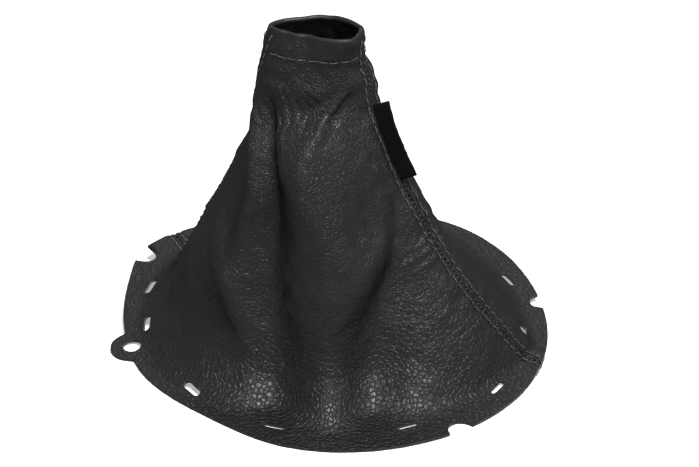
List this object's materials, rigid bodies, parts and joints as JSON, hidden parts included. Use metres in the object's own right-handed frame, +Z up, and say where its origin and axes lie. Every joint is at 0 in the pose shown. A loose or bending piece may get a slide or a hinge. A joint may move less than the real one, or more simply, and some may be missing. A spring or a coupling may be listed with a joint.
{
  "type": "gear lever gaiter",
  "caption": "Sewn leather boot for a car's gear lever: a folded cone from a wide slotted flange up to a hemmed collar, with a blank tag in one seam.",
  "frame": {"origin": "middle of the flange's underside, on the surface that the gaiter stands on", "axes": "+Z up through the collar, -Y towards the front panel, +X towards the seam that holds the tag"},
  "size_m": [0.204, 0.208, 0.1539],
  "materials": {
    "leather": "pebbled black grain, satin",
    "ribbon": "black satin tape",
    "thread": "twisted charcoal thread"
  },
  "bodies": {
    "root": {"front_panel": "leather", "rear_panel": "leather", "label_tag": "ribbon", "right_seam_front_topstitch": "thread", "right_seam_rear_topstitch": "thread", "left_seam_front_topstitch": "thread", "left_seam_rear_topstitch": "thread", "front_hem_stitch": "thread", "rear_hem_stitch": "thread", "right_join_stitch": "thread", "left_join_stitch": "thread"}
  },
  "joints": []
}
